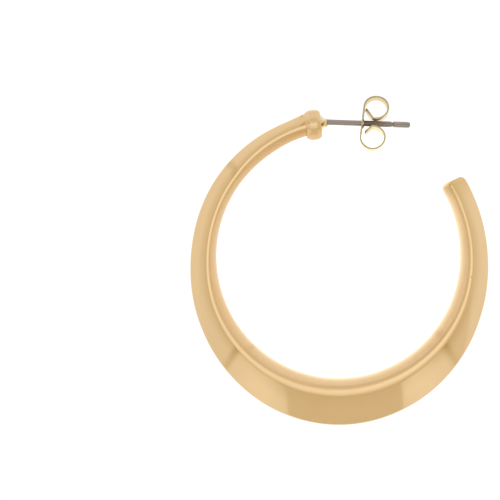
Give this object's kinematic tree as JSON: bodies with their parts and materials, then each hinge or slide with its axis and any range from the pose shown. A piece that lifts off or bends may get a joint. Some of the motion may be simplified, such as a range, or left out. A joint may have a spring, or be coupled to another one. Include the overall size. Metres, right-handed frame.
{
  "type": "c-hoop earring",
  "caption": "C-shaped hoop earring with two bevels meeting in a deep rim, a bead-shaped end cap, a straight ear post and a butterfly clutch that slides off.",
  "frame": {"origin": "middle of the overall box, on the surface that the earring lies on", "axes": "+X along the ear post towards its free tip, +Y up the C towards the post, +Z out of the upper face"},
  "size_m": [0.0354, 0.0392, 0.0048],
  "materials": {
    "hoop_gold": "polished pale gold plate",
    "cap_gold": "polished pale gold plate",
    "post_metal": "drawn grey metal, slightly dull",
    "clutch_gold": "bright pale gold plate on thin strip"
  },
  "bodies": {
    "earring": {"c_hoop": "hoop_gold", "end_cap": "cap_gold", "ear_post": "post_metal"},
    "clutch": {"butterfly_clutch": "clutch_gold"}
  },
  "joints": [
    {"name": "clutch_slide", "type": "slide", "parent": "earring", "child": "clutch", "axis": [1, 0, 0], "range_m": [-0.004, 0.0066]}
  ]
}
